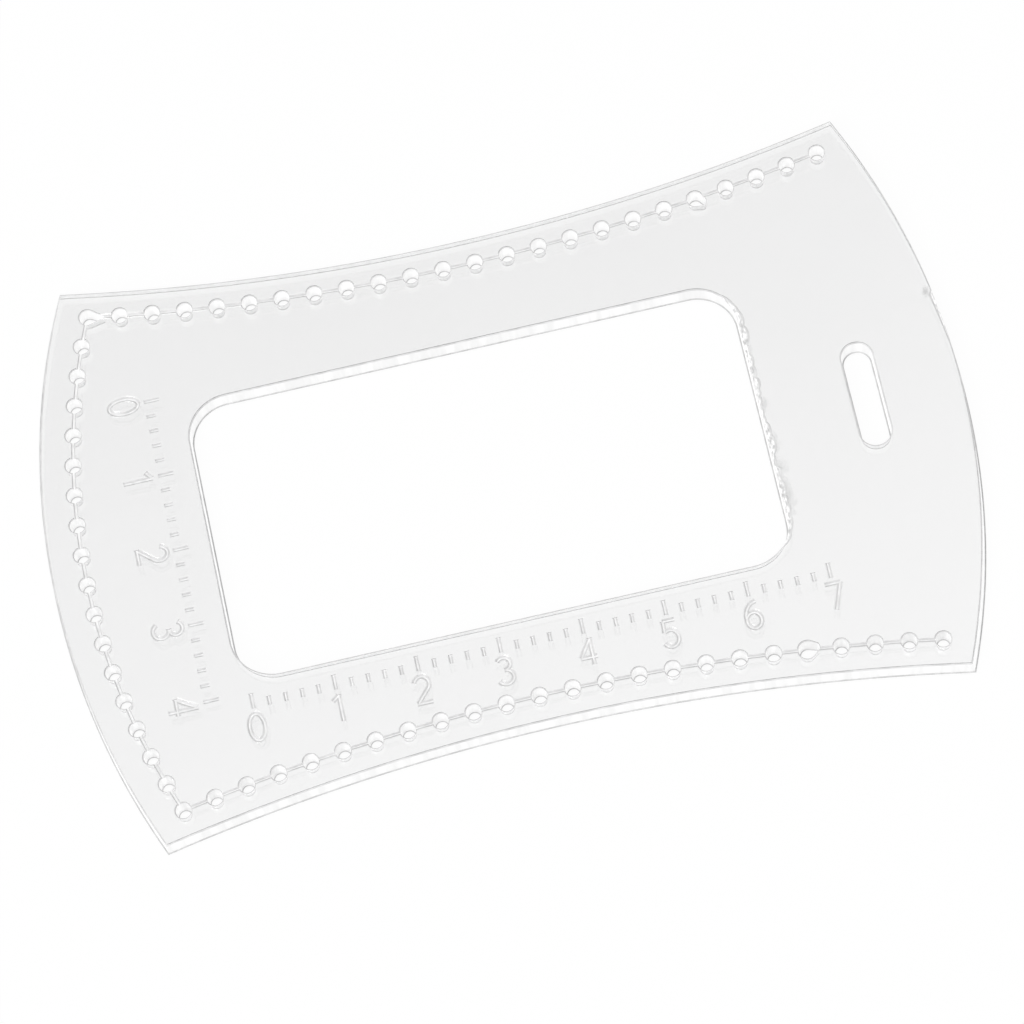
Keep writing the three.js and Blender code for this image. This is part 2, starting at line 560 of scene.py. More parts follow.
@dataclass(frozen=True)
class Outline:
    """The plate's outline and openings, at the front face.

    The long sides curve in and the ends curve out. Grow moves every wall towards the
    space beside it, so the plate gets larger and its openings get smaller. Step is the
    length of a segment of the outline, and arc_steps the segments of a quarter turn.
    """

    corner_length: float = 96.8
    corner_width: float = 73.5
    side_hollow: float = 4.85
    end_bulge: float = 7.4
    slot_width: float = 3.8
    slot_length: float = 13.6
    slot_end_rim: float = 9.6
    window_side_rim: float = 13.4
    window_end_rim: float = 19.5
    window_slot_bridge: float = 10.9
    window_corner_radius: float = 5.2
    step: float = 0.5
    arc_steps: int = 20

    @property
    def side_radius(self) -> float:
        """Radius of the long sides."""
        return ((self.corner_length / 2) ** 2 + self.side_hollow**2) / (2 * self.side_hollow)

    @property
    def end_radius(self) -> float:
        """Radius of the ends."""
        return ((self.corner_width / 2) ** 2 + self.end_bulge**2) / (2 * self.end_bulge)

    @property
    def side_centre(self) -> float:
        """Distance from the origin to the centre of a long side's arc."""
        return self.corner_width / 2 - self.side_hollow + self.side_radius

    @property
    def end_centre(self) -> float:
        """Distance from the origin to the centre of an end's arc."""
        return self.end_radius - self.corner_length / 2 - self.end_bulge

    def side_point(self, side: int, grow: float, angle: float) -> Point:
        """A point of a long side, at an angle from its middle."""
        radius = self.side_radius - grow
        return radius * math.sin(angle), side * (self.side_centre - radius * math.cos(angle))

    def end_point(self, end: int, grow: float, angle: float) -> Point:
        """A point of an end, at an angle from its crest."""
        radius = self.end_radius + grow
        return end * (radius * math.cos(angle) - self.end_centre), radius * math.sin(angle)

    def corner_angles(self, side_grow: float, end_grow: float) -> tuple[float, float]:
        """Angles of the corner where a side's arc and an end's arc meet.

        Args:
            side_grow: How far the side's arc is moved out.
            end_grow: How far the end's arc is moved out.

        Returns:
            The corner's angle on the side's arc and on the end's arc.
        """
        distance = math.hypot(self.end_centre, self.side_centre)
        side_arc = self.side_radius - side_grow
        end_arc = self.end_radius + end_grow
        along = (side_arc**2 - end_arc**2 + distance**2) / (2 * distance)
        across = math.sqrt(side_arc**2 - along**2)
        x = (across * self.side_centre - along * self.end_centre) / distance
        y = self.side_centre - (along * self.side_centre + across * self.end_centre) / distance
        return math.asin(x / side_arc), math.asin(y / end_arc)

    def rim(self, grow: float, stray: Callable[[int, float], float] | None = None) -> Loop:
        """The outline, anticlockwise from the corner at +X, +Y.

        Args:
            grow: How far it moves out.
            stray: How much further the ends move out, for an end and a Y.

        Returns:
            The loop.
        """
        on_side, on_end = self.corner_angles(grow, grow)
        side_steps = round(self.corner_length / self.step)
        end_steps = round(self.corner_width / self.step)
        loop = []
        for turn in (1, -1):
            for step in range(side_steps):
                loop.append(self.side_point(turn, grow, turn * on_side * (1 - 2 * step / side_steps)))
            for step in range(end_steps):
                x, y = self.end_point(-turn, grow, turn * on_end * (1 - 2 * step / end_steps))
                loop.append((x - turn * (stray(-turn, y) if stray else 0.0), y))
        return loop

    @property
    def crest(self) -> float:
        """Distance from the origin to the crest of an end."""
        return self.corner_length / 2 + self.end_bulge

    @property
    def slot_middle(self) -> float:
        """X of the slot's middle line."""
        return self.crest - self.slot_end_rim - self.slot_width / 2

    @property
    def window_box(self) -> Triple:
        """The window's left and right edges and half its width.

        Returns:
            X of both edges, and the largest Y.
        """
        left = self.window_end_rim - self.crest
        right = self.slot_middle - self.slot_width / 2 - self.window_slot_bridge
        return left, right, self.corner_width / 2 - self.side_hollow - self.window_side_rim

    def window(self, grow: float, chip: Callable[[float], float] | None = None) -> Loop:
        """The window, clockwise.

        Args:
            grow: How far its walls move into the opening.
            chip: How far its wall at the slot's side is broken back, at each Y.

        Returns:
            The loop.
        """
        left, right, half_width = self.window_box
        radius = self.window_corner_radius - grow
        reach_x = (right - left) / 2 - self.window_corner_radius
        reach_y = half_width - self.window_corner_radius
        loop = []
        for quarter, (side_x, side_y) in enumerate(((1, -1), (-1, -1), (-1, 1), (1, 1))):
            for step in range(self.arc_steps + 1):
                angle = -(quarter + step / self.arc_steps) * math.pi / 2
                x = side_x * reach_x + radius * math.cos(angle)
                y = side_y * reach_y + radius * math.sin(angle)
                broken = chip(y) * max(0.0, math.cos(angle)) if chip and side_x > 0 else 0.0
                loop.append(((left + right) / 2 + x + broken, y))
        steps = round(2 * reach_y / ChippedEdge.STEP)
        for step in range(1, steps):
            y = reach_y * (1 - 2 * step / steps)
            loop.append((right - grow + (chip(y) if chip else 0.0), y))
        return loop

    def slot(self, grow: float) -> Loop:
        """The strap slot, clockwise.

        Args:
            grow: How far its walls move into the opening.

        Returns:
            The loop.
        """
        radius = self.slot_width / 2 - grow
        half_straight = (self.slot_length - self.slot_width) / 2
        loop = []
        for end in (-1, 1):
            for step in range(2 * self.arc_steps + 1):
                angle = -math.pi * step / (2 * self.arc_steps)
                x = self.slot_middle - end * radius * math.cos(angle)
                loop.append((x, end * (half_straight - radius * math.sin(angle))))
        return loop


@dataclass(frozen=True)
class ChippedEdge:
    """The bites that are broken out of the window's front edge, at the slot's side.

    The bites run from low to high along Y. Each starts before the last one ends, because
    it follows after a share of that one's half width.
    """

    seed: int = 11
    low: float = -17.0
    high: float = 16.5
    half_width: tuple[float, float] = (0.525, 1.425)
    follow: float = 1.6
    depth: tuple[float, float] = (0.25, 0.75)
    STEP = 0.25

    def bites(self) -> list[Triple]:
        """Draws the bites.

        Returns:
            Middle, half width and depth of each bite.
        """
        draw = random.Random(self.seed)
        found = []
        y = self.low
        while y < self.high:
            half = draw.uniform(*self.half_width)
            found.append((y + half, half, draw.uniform(*self.depth)))
            y += self.follow * half
        return found

    def profile(self) -> Callable[[float], float]:
        """How far the edge is broken back.

        Returns:
            A function from Y to the depth there.
        """
        bites = self.bites()

        def broken(y: float) -> float:
            """Depth of the deepest bite at one Y."""
            shares = [(deep, 1 - ((y - middle) / half) ** 2) for middle, half, deep in bites]
            return max((deep * math.sqrt(share) for deep, share in shares if share > 0), default=0.0)

        return broken


@dataclass(frozen=True)
class StrayEnds:
    """Where the ends' walls stray from the outline.

    The back edges lean out more and more up to lean_reach along Y. The sliver has come off
    between two heights of Y.
    """

    lean: float = 0.35
    lean_reach: float = 26.0
    far_lean: float = 0.2
    sliver: float = 0.42
    sliver_high: float = 11.3
    sliver_low: float = 3.5

    def back(self, end: int, y: float) -> float:
        """How far the back edge of one end stands out more than the kerf's lean gives."""
        size = self.lean if end < 0 else self.far_lean
        return size * min(1.0, max(0.0, -end * y / self.lean_reach))

    def front(self, end: int, y: float) -> float:
        """How far the front edge is broken back, where a sliver has come off the slot's end."""
        along = (y - self.sliver_low) / (self.sliver_high - self.sliver_low)
        return -self.sliver * along if end > 0 and 0.0 < along < 1.0 else 0.0


@dataclass(frozen=True)
class Slip:
    """A stitch hole that the laser drew out to one side.

    Swell and tip are radii, as shares of a hole's.
    """

    row: int
    hole: int
    swell: float
    reach: Point
    tip: float
    STEPS = 48

    def loop(self, middle: Point, radius: float) -> Loop:
        """The loop round the swollen hole and its tip, anticlockwise.

        Args:
            middle: The hole's centre.
            radius: A plain hole's radius at this height.

        Returns:
            The loop.
        """
        loop = []
        for step in range(self.STEPS):
            angle = 2 * math.pi * step / self.STEPS
            x, y = math.cos(angle), math.sin(angle)
            ahead = self.reach[0] * x + self.reach[1] * y
            at_tip = ahead + self.tip * radius > self.swell * radius
            size = radius * (self.tip if at_tip else self.swell)
            base = self.reach if at_tip else (0.0, 0.0)
            loop.append((middle[0] + base[0] + size * x, middle[1] + base[1] + size * y))
        return loop


@dataclass(frozen=True)
class Stitching:
    """The stitch holes and the guide line that joins them.

    Line floors are the widths of the line's floor in the three rows, as shares of its
    width. Mouth and throat are a hole's radii below its front rim and at its back bead.
    """

    pitch: float = 4.0
    hole_radius: float = 1.0
    side_margin: float = 3.3
    end_margin: float = 4.0
    line_width: float = 0.48
    line_floors: Triple = (0.2, 0.2, 0.5)
    mouth: float = 0.93
    throat: float = 0.72
    slips: tuple[Slip, ...] = (
        Slip(0, 0, 1.02, (1.95, -0.35), 0.15),
        Slip(0, 19, 1.02, (0.75, -0.5), 0.6),
        Slip(1, 19, 1.15, (0.95, 0.12), 0.6),
    )

    def rows(self, outline: Outline) -> list[Loop]:
        """Hole centres of both long rows and of the row along the plain end.

        Args:
            outline: The plate's outline.

        Returns:
            The three rows. The last one runs between the first holes of the others.
        """
        on_side, on_end = outline.corner_angles(-self.side_margin, -self.end_margin)
        side_step = 2 * math.asin(self.pitch / 2 / (outline.side_radius + self.side_margin))
        holes = round(2 * on_side / side_step) + 1
        gaps = round(2 * on_end * (outline.end_radius - self.end_margin) / self.pitch)
        along_side = [hole * side_step - on_side for hole in range(holes)]
        along_end = [on_end * (1 - 2 * gap / gaps) for gap in range(gaps + 1)]
        return [
            [outline.side_point(1, -self.side_margin, angle) for angle in along_side],
            [outline.side_point(-1, -self.side_margin, angle) for angle in along_side],
            [outline.end_point(-1, -self.end_margin, angle) for angle in along_end],
        ]


@dataclass(frozen=True)
class Cutting:
    """What the laser does to the sheet, and the heights of its layers.

    Rims are rounded over at the front, and beads stand out at the back. Overshoots are how
    far the cutters reach past the sheet.
    """

    bottom: float
    top: float
    film_top: float
    lean: float = 0.25
    rim_width: float = 0.18
    rim_drop: float = 0.08
    bead_reach: float = 0.17
    bead_width: float = 0.18
    bead_height: float = 0.08
    chip_height: float = 0.5
    hole_rim: float = 0.07
    film_gap: float = 0.008
    groove_depth: float = 0.15
    scale_floor: float = 0.32
    overshoot: float = 0.5
    groove_overshoot: float = 0.1


def shell(name: str, layers: Sequence[tuple[list[Loop], float]]) -> bpy.types.Object:
    """A closed body from matching loops at rising heights.

    Args:
        name: The object's name.
        layers: Loops and height of each layer. The first loop is the outline, which is
            anticlockwise, and the others are openings, which are clockwise.

    Returns:
        The object.
    """
    count = sum(len(loop) for loop in layers[0][0])
    verts = [(x * MM, y * MM, z * MM) for loops, z in layers for loop in loops for x, y in loop]
    faces = []
    for level, (loops, _) in ((0, layers[0]), (len(layers) - 1, layers[-1])):
        flat = [point for loop in loops for point in loop]
        polygons = [[Vector((x, y, 0.0)) for x, y in loop] for loop in loops]
        for a, b, c in tessellate_polygon(polygons):
            (ax, ay), (bx, by), (cx, cy) = flat[a], flat[b], flat[c]
            area = (bx - ax) * (cy - ay) - (cx - ax) * (by - ay)
            upward = (area > 0) == (level > 0)
            face = (a, b, c) if upward else (c, b, a)
            faces.append(tuple(level * count + index for index in face))
    for level in range(len(layers) - 1):
        first = level * count
        for loop in layers[0][0]:
            for index in range(len(loop)):
                here = first + index
                after = first + (index + 1) % len(loop)
                faces.append((here, after, after + count, here + count))
            first += len(loop)
    mesh = bpy.data.meshes.new(name)
    mesh.from_pydata(verts, [], faces)
    mesh.update()
    return placed(name, mesh)


@dataclass(frozen=True)
class Punches:
    """Cutters for the stitch holes, repeated along each row."""

    outline: Outline
    stitching: Stitching
    cutting: Cutting
    SIDES = 40

    def profile(self) -> Loop:
        """Shape of a hole, with its melted rim and bead.

        Returns:
            Its radius at rising heights.
        """
        cut = self.cutting
        sizes = self.stitching
        return [
            (sizes.throat + cut.lean / 2, -cut.overshoot),
            (sizes.throat + cut.lean / 2, cut.bottom),
            (sizes.throat, cut.bottom + cut.bead_height),
            (sizes.throat + cut.lean / 2, cut.bottom + 2 * cut.bead_height),
            (sizes.mouth, cut.top - cut.rim_drop),
            (sizes.hole_radius + cut.hole_rim, cut.top),
            (sizes.hole_radius + cut.hole_rim, cut.film_top + cut.overshoot),
        ]

    def slips(self) -> list[bpy.types.Object]:
        """Cutters of the holes that were drawn out to one side.

        Returns:
            One object for each of them.
        """
        rows = self.stitching.rows(self.outline)
        made = []
        for slip in self.stitching.slips:
            middle = rows[slip.row][slip.hole]
            layers = [([slip.loop(middle, radius)], height) for radius, height in self.profile()]
            made.append(shell(f"slip_{slip.row}_{slip.hole}", layers))
        return made

    def punch(self) -> bpy.types.Object:
        """Turns one cutter.

        Returns:
            The cutter, closed at both ends.
        """
        outer = self.profile()
        profile = [(0.0, outer[0][1]), *outer, (0.0, outer[-1][1])]
        body = bmesh.new()
        points = [body.verts.new((radius * MM, 0.0, z * MM)) for radius, z in profile]
        edges = [body.edges.new(pair) for pair in zip(points, points[1:])]
        axis = {"cent": (0, 0, 0), "axis": (0, 0, 1), "angle": 2 * math.pi, "steps": self.SIDES}
        bmesh.ops.spin(body, geom=[*points, *edges], **axis)
        bmesh.ops.remove_doubles(body, verts=body.verts, dist=MERGED_WITHIN)
        bmesh.ops.recalc_face_normals(body, faces=body.faces)
        mesh = bpy.data.meshes.new("punch")
        body.to_mesh(mesh)
        body.free()
        return placed("punch", mesh)

    def tree(self, material: bpy.types.Material) -> GeometryTree:
        """Places a punch at equal steps along a row.

        Args:
            material: The holes' walls' material.

        Returns:
            The tree, with the inputs Hole Count and Punch.
        """
        tree = GeometryTree("punch_row", {"Hole Count": int, "Punch": object})
        spaced = tree.node(
            "GeometryNodeResampleCurve",
            None,
            {"Curve": tree.entry["Geometry"], "Count": tree.entry["Hole Count"]},
        )
        punch = tree.node("GeometryNodeObjectInfo", None, {"Object": tree.entry["Punch"]})
        row = tree.node(
            "GeometryNodeInstanceOnPoints",
            None,
            {"Points": spaced.outputs[0], "Instance": punch.outputs["Geometry"]},
        )
        tree.close(row.outputs[0], material)
        return tree

    def build(self, material: bpy.types.Material) -> list[bpy.types.Object]:
        """Makes all the cutters.

        Args:
            material: The holes' walls' material.

        Returns:
            One object for each row, and one for each drawn-out hole.
        """
        tree = self.tree(material)
        punch = self.punch()
        side_rows_and_end = self.stitching.rows(self.outline)
        # The end's corner holes are already in the side rows
        side_rows_and_end[-1] = side_rows_and_end[-1][1:-1]
        made = []
        for number, row in enumerate(side_rows_and_end):
            path = path_object(f"punch_row_{number}", row, 0.0)
            made.append(tree.made(path, {"Hole Count": len(row), "Punch": punch}))
        bpy.data.objects.remove(punch)
        return made + self.slips()


# Engraving


def stroke_arc(centre: Point, radii: Point, start: float, end: float, steps: int = 14) -> Loop:
    """Part of an ellipse.

    Args:
        centre: Its centre.
        radii: Its radii along X and Y.
        start: First angle in degrees.
        end: Last angle in degrees.
        steps: Number of segments.

    Returns:
        The points.
    """
    angles = [math.radians(start + (end - start) * step / steps) for step in range(steps + 1)]
    return [(centre[0] + radii[0] * math.cos(a), centre[1] + radii[1] * math.sin(a)) for a in angles]


# Half the width of a digit, as a share of its height
HALF_DIGIT = 0.3
# Plain digits as strokes, one unit high
DIGITS: dict[str, list[Loop]] = {
    "0": [stroke_arc((0.3, 0.5), (0.27, 0.5), 90, 450, 24)],
    "1": [[(0.1, 0.8), (0.33, 0.98)], [(0.34, 1.0), (0.34, 0.0)]],
    "2": [stroke_arc((0.3, 0.71), (0.26, 0.29), 165, -35) + [(0.06, 0.02)], [(0.02, 0.0), (0.58, 0.0)]],
    "3": [
        stroke_arc((0.28, 0.77), (0.24, 0.23), 150, -90),
        stroke_arc((0.28, 0.27), (0.28, 0.27), 90, -150),
    ],
    "4": [[(0.44, 0.0), (0.44, 1.0)], [(0.43, 0.97), (0.03, 0.32)], [(0.0, 0.3), (0.6, 0.3)]],
    "5": [
        [(0.53, 1.0), (0.1, 1.0)],
        [(0.12, 0.98), (0.1, 0.56)],
        stroke_arc((0.28, 0.32), (0.28, 0.32), 125, -150),
    ],
    "6": [
        stroke_arc((0.3, 0.3), (0.26, 0.3), 180, 540, 20),
        stroke_arc((0.52, 0.4), (0.48, 0.6), 178, 95, 8),
    ],
    "7": [[(0.02, 1.0), (0.58, 1.0)], [(0.56, 0.98), (0.22, 0.0)]],
}


@dataclass(frozen=True)
class Scale:
    """A ruled centimetre scale with plain numbers.

    It is laid out along its own X, with its ticks above its numbers, then turned and put
    in place. Strokes and ticks have their own widths, and ticks two lengths.
    """

    name: str
    origin: Point
    turn: float
    centimetres: int
    digit_height: float
    digit_gap: float = 0.7
    stroke_width: float = 0.58
    tick_width: float = 0.5
    tick_pitch: float = 2.0
    long_tick: float = 1.9
    short_tick: float = 1.1
    ticks_per_number: int = 5

    def put(self, point: Point) -> Point:
        """Puts a point of the laid-out scale in its place on the plate.

        Args:
            point: The point as laid out.

        Returns:
            The point on the plate.
        """
        cosine, sine = math.cos(self.turn), math.sin(self.turn)
        x, y = point
        return self.origin[0] + x * cosine - y * sine, self.origin[1] + x * sine + y * cosine

    def numbers(self) -> list[Loop]:
        """Lays out the numbers, centred under the long ticks.

        Returns:
            Their strokes, in their places.
        """
        strokes = []
        size = self.digit_height
        spacing = self.tick_pitch * self.ticks_per_number
        base = -self.digit_gap - size
        for number in range(self.centimetres + 1):
            left = number * spacing - HALF_DIGIT * size
            for stroke in DIGITS[str(number)]:
                strokes.append([self.put((left + x * size, base + y * size)) for x, y in stroke])
        return strokes

    def base_line(self) -> Loop:
        """The line that the ticks stand on, in its place."""
        reach = self.centimetres * self.tick_pitch * self.ticks_per_number
        return [self.put((0.0, 0.0)), self.put((reach, 0.0))]


@dataclass(frozen=True)
class Engraver:
    """Cutters for everything that is engraved in the front face."""

    cutting: Cutting
    SECTION = {"Line Width": float, "Floor Share": float, "Depth": float, "Rise": float}

    def groove(self, tree: GeometryTree, lines: bpy.types.NodeSocket) -> bpy.types.NodeSocket:
        """Sweeps the groove's section along curves in the plate's front face.

        The section's own Y runs down into the plate. Its sides keep their slope up to its
        top, which is above the front film.

        Args:
            tree: The tree, with the section's named inputs.
            lines: The curves.

        Returns:
            The swept mesh.
        """
        width, depth, rise = (tree.number(label) for label in ("Line Width", "Depth", "Rise"))
        floor = width * tree.number("Floor Share")
        spread = (width - floor) / depth
        section = tree.node(
            "GeometryNodeCurvePrimitiveQuadrilateral",
            {"mode": "TRAPEZOID"},
            {
                "Height": depth + rise,
                "Bottom Width": floor + spread * (depth + rise),
                "Top Width": floor,
                "Offset": 0.0,
            },
        )
        shift = tree.node("ShaderNodeCombineXYZ", None, {"Y": (depth - rise) * 0.5})
        moved = tree.node(
            "GeometryNodeTransform",
            None,
            {"Geometry": section.outputs[0], "Translation": shift.outputs[0]},
        )
        level = tree.node("GeometryNodeSetCurveNormal", {"mode": "Z_UP"}, {"Curve": lines})
        swept = tree.node(
            "GeometryNodeCurveToMesh",
            None,
            {"Curve": level.outputs[0], "Profile Curve": moved.outputs[0], "Fill Caps": True},
        )
        return swept.outputs[0]

    def stroke_tree(self, material: bpy.types.Material) -> GeometryTree:
        """Engraves the given lines.

        Args:
            material: The material of the grooves' sides.

        Returns:
            The tree.
        """
        tree = GeometryTree("engraved_lines", self.SECTION)
        tree.close(self.groove(tree, tree.entry["Geometry"]), material)
        return tree

    def tick_tree(self, material: bpy.types.Material) -> GeometryTree:
        """Engraves ticks at equal steps along a base line, with every few a long one.

        Args:
            material: The material of the grooves' sides.

        Returns:
            The tree.
        """
        named = {"Tick Count": int, "Group": int, "Short": float, "Long": float}
        tree = GeometryTree("engraved_ticks", {**self.SECTION, **named})
        spaced = tree.node(
            "GeometryNodeResampleCurve",
            None,
            {"Curve": tree.entry["Geometry"], "Count": tree.entry["Tick Count"]},
        )
        place = tree.node("GeometryNodeInputIndex")
        rest = Value(tree, place.outputs[0]).math("MODULO", tree.number("Group"))
        is_long = rest.math("LESS_THAN", 0.5)
        length = is_long * (tree.number("Long") - tree.number("Short")) + tree.number("Short")
        tangent = tree.node("GeometryNodeInputTangent")
        turned = tree.node(
            "FunctionNodeAlignEulerToVector", {"axis": "X"}, {"Vector": tangent.outputs[0]}
        )
        upright = tree.node(
            "GeometryNodeCurvePrimitiveLine", None, {"Start": (0, 0, 0), "End": (0, 1, 0)}
        )
        stretch = tree.node("ShaderNodeCombineXYZ", None, {"X": 1.0, "Y": length, "Z": 1.0})
        ticks = tree.node(
            "GeometryNodeInstanceOnPoints",
            None,
            {
                "Points": spaced.outputs[0],
                "Instance": upright.outputs[0],
                "Rotation": turned.outputs[0],
                "Scale": stretch.outputs[0],
            },
        )
        real = tree.node("GeometryNodeRealizeInstances", None, {"Geometry": ticks.outputs[0]})
        tree.close(self.groove(tree, real.outputs[0]), material)
        return tree

    def section(self, width: float, floor: float) -> dict[str, float]:
        """Values of a groove's section, in metres.

        Args:
            width: Width of the line at the plate's face, in millimetres.
            floor: Width of its floor as a share of that.

        Returns:
            The named values.
        """
        cut = self.cutting
        return {
            "Line Width": width * MM,
            "Floor Share": floor,
            "Depth": cut.groove_depth * MM,
            "Rise": (cut.film_top - cut.top + cut.groove_overshoot) * MM,
        }

    def build(
        self,
        rows: Sequence[Loop],
        stitching: Stitching,
        scales: Sequence[Scale],
        material: bpy.types.Material,
    ) -> list[bpy.types.Object]:
        """Makes the cutters.

        Args:
            rows: The rows of stitch holes that the guide line joins.
            stitching: The guide line's sizes.
            scales: The ruled scales.
            material: The material of the grooves' sides.

        Returns:
            The cutters.
        """
        strokes = self.stroke_tree(material)
        ticks = self.tick_tree(material)
        height = self.cutting.top
        made = []
        for number, (row, floor) in enumerate(zip(rows, stitching.line_floors)):
            path = path_object(f"guide_line_{number}", row, height)
            made.append(strokes.made(path, self.section(stitching.line_width, floor)))
        for scale in scales:
            stroke_section = self.section(scale.stroke_width, self.cutting.scale_floor)
            for number, stroke in enumerate(scale.numbers()):
                path = path_object(f"{scale.name}_stroke_{number}", stroke, height)
                made.append(strokes.made(path, stroke_section))
            path = path_object(f"{scale.name}_ticks", scale.base_line(), height)
            values = {
                "Tick Count": scale.centimetres * scale.ticks_per_number + 1,
                "Group": scale.ticks_per_number,
                "Short": scale.short_tick * MM,
                "Long": scale.long_tick * MM,
            }
            tick_section = self.section(scale.tick_width, self.cutting.scale_floor)
            made.append(ticks.made(path, {**tick_section, **values}))
        return made


# Sub-assemblies


def carve(blank: bpy.types.Object, cutters: Iterable[bpy.types.Object], name: str) -> bpy.types.Object:
    """Cuts a blank.

    Args:
        blank: The uncut body. It is removed.
        cutters: The bodies to take away from it. They are kept.
        name: The result's name.

    Returns:
        The cut body as a plain mesh.
    """
    for cutter in cutters:
        modifier = blank.modifiers.new(cutter.name, "BOOLEAN")
        modifier.operation = "DIFFERENCE"
        modifier.solver = "MANIFOLD"
        modifier.object = cutter
    return baked(blank, name)


def smooth_walls(mesh: bpy.types.Mesh) -> None:
    """Shades round walls smooth and keeps the edges between surfaces sharp."""
    mesh.shade_smooth()
    mesh.set_sharp_from_angle(angle=SHARP_FROM)


def cut_loops(outline: Outline, grow: float, chipped: float, strayed: float) -> list[Loop]:
    """Outline, window and slot as they are at one height.

    Args:
        outline: The plate's outline.
        grow: How far the walls move out.
        chipped: Share of the chips' and the sliver's depth.
        strayed: Share of the ends' extra lean.

    Returns:
        The three loops.
    """
    depth = ChippedEdge().profile()
    ends = StrayEnds()
    rim = outline.rim(grow, lambda end, y: strayed * ends.back(end, y) + chipped * ends.front(end, y))
    return [rim, outline.window(grow, lambda y: chipped * depth(y)), outline.slot(grow)]


@dataclass
class AcrylicPlate:
    """The clear plate with its window, slot, stitch holes and engraving.

    Chipped and strayed are the shares of the chips' depth at the front rim's foot and of
    the ends' extra lean at the chips' foot. Hole reach is how far from a hole's centre its
    walls are looked for.
    """

    outline: Outline
    cutting: Cutting
    holes: Sequence[Point]
    materials: dict[Surface, bpy.types.Material]
    hole_reach: float = 2.5
    chipped: float = 0.9
    strayed: float = 0.2

    # Slopes that tell the cut surfaces apart, as the height of their normals
    FLAT = 0.985
    STEEP = 0.86
    UPRIGHT = 0.25
    # Depths that tell them apart, the last one as a share of the groove's depth
    FACE_DEPTH = 0.01
    RIM_DEPTH = 0.2
    GROOVE_SIDE_FROM = 0.4

    def blank(self) -> bpy.types.Object:
        """Makes the plate with its window and slot, and the melted rims of all three.

        Returns:
            The uncut body.
        """
        cut = self.cutting
        layers = [
            (cut.lean - cut.bead_width, 0.0, 1.0, cut.bottom),
            (cut.lean, 0.0, 1.0, cut.bottom + cut.bead_height),
            (cut.lean - cut.bead_reach, 0.0, 1.0, cut.bottom + 2 * cut.bead_height),
            (0.0, 0.0, self.strayed, cut.top - cut.chip_height),
            (0.0, self.chipped, 0.0, cut.top - cut.rim_drop),
            (-cut.rim_width, 1.0, 0.0, cut.top),
        ]
        return shell("plate_blank", [(cut_loops(self.outline, *wall), z) for *wall, z in layers])

    def surface_of(self, polygon: bpy.types.MeshPolygon) -> Surface:
        """Which surface a face of the cut plate belongs to.

        Args:
            polygon: The face.

        Returns:
            The surface.
        """
        cut = self.cutting
        tilt = abs(polygon.normal.z)
        height = polygon.center.z / MM
        if tilt > self.FLAT:
            engraved = cut.bottom + self.FACE_DEPTH < height < cut.top - self.FACE_DEPTH
            return Surface.GROOVE_FLOOR if engraved else Surface.POLISHED
        x, y, _ = polygon.center / MM
        in_hole = any(math.dist((x, y), hole) < self.hole_reach for hole in self.holes)
        if tilt < self.UPRIGHT:
            return Surface.HOLE_WALL if in_hole else Surface.CUT_WALL
        depth = cut.top - height
        if depth > cut.chip_height and not in_hole:
            return Surface.BEAD
        if self.RIM_DEPTH < depth < cut.chip_height:
            return Surface.BROKEN
        grooved = cut.groove_depth * self.GROOVE_SIDE_FROM < depth < cut.groove_depth
        return Surface.GROOVE_SIDE if grooved and tilt < self.STEEP else Surface.MELTED

    def build(self, cutters: Iterable[bpy.types.Object]) -> bpy.types.Object:
        """Makes the plate.

        Args:
            cutters: The punches and the engraving.

        Returns:
            The plate, riding on the root.
        """
        plate = carve(self.blank(), cutters, "cut_acrylic_plate")
        plate.data.materials.clear()
        for surface in Surface:
            plate.data.materials.append(self.materials[surface])
        for polygon in plate.data.polygons:
            polygon.material_index = self.surface_of(polygon).value
        smooth_walls(plate.data)
        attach(plate, "root")
        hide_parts(Node.PLATE.value)
        return plate


@dataclass
class MaskingFilm:
    """One of the two films, drawn back from the melted rims.

    Grow, chipped and strayed say how its edge follows the plate's, as in cut_loops.
    """

    node: Node
    name: str
    outline: Outline
    grow: float
    chipped: float
    strayed: float
    bottom: float
    top: float

    def build(
        self, cutters: Iterable[bpy.types.Object], material: bpy.types.Material
    ) -> bpy.types.Object:
        """Makes the film.

        Args:
            cutters: The punches and, at the front, the engraving.
            material: The film's material.

        Returns:
            The film, riding on the root.
        """
        loops = cut_loops(self.outline, self.grow, self.chipped, self.strayed)
        blank = shell(self.name + "_blank", [(loops, self.bottom), (loops, self.top)])
        film = carve(blank, cutters, self.name)
        film.data.materials.clear()
        film.data.materials.append(material)
        for polygon in film.data.polygons:
            polygon.material_index = 0
        smooth_walls(film.data)
        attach(film, "root")
        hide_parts(self.node.value)
        return film


# Studio


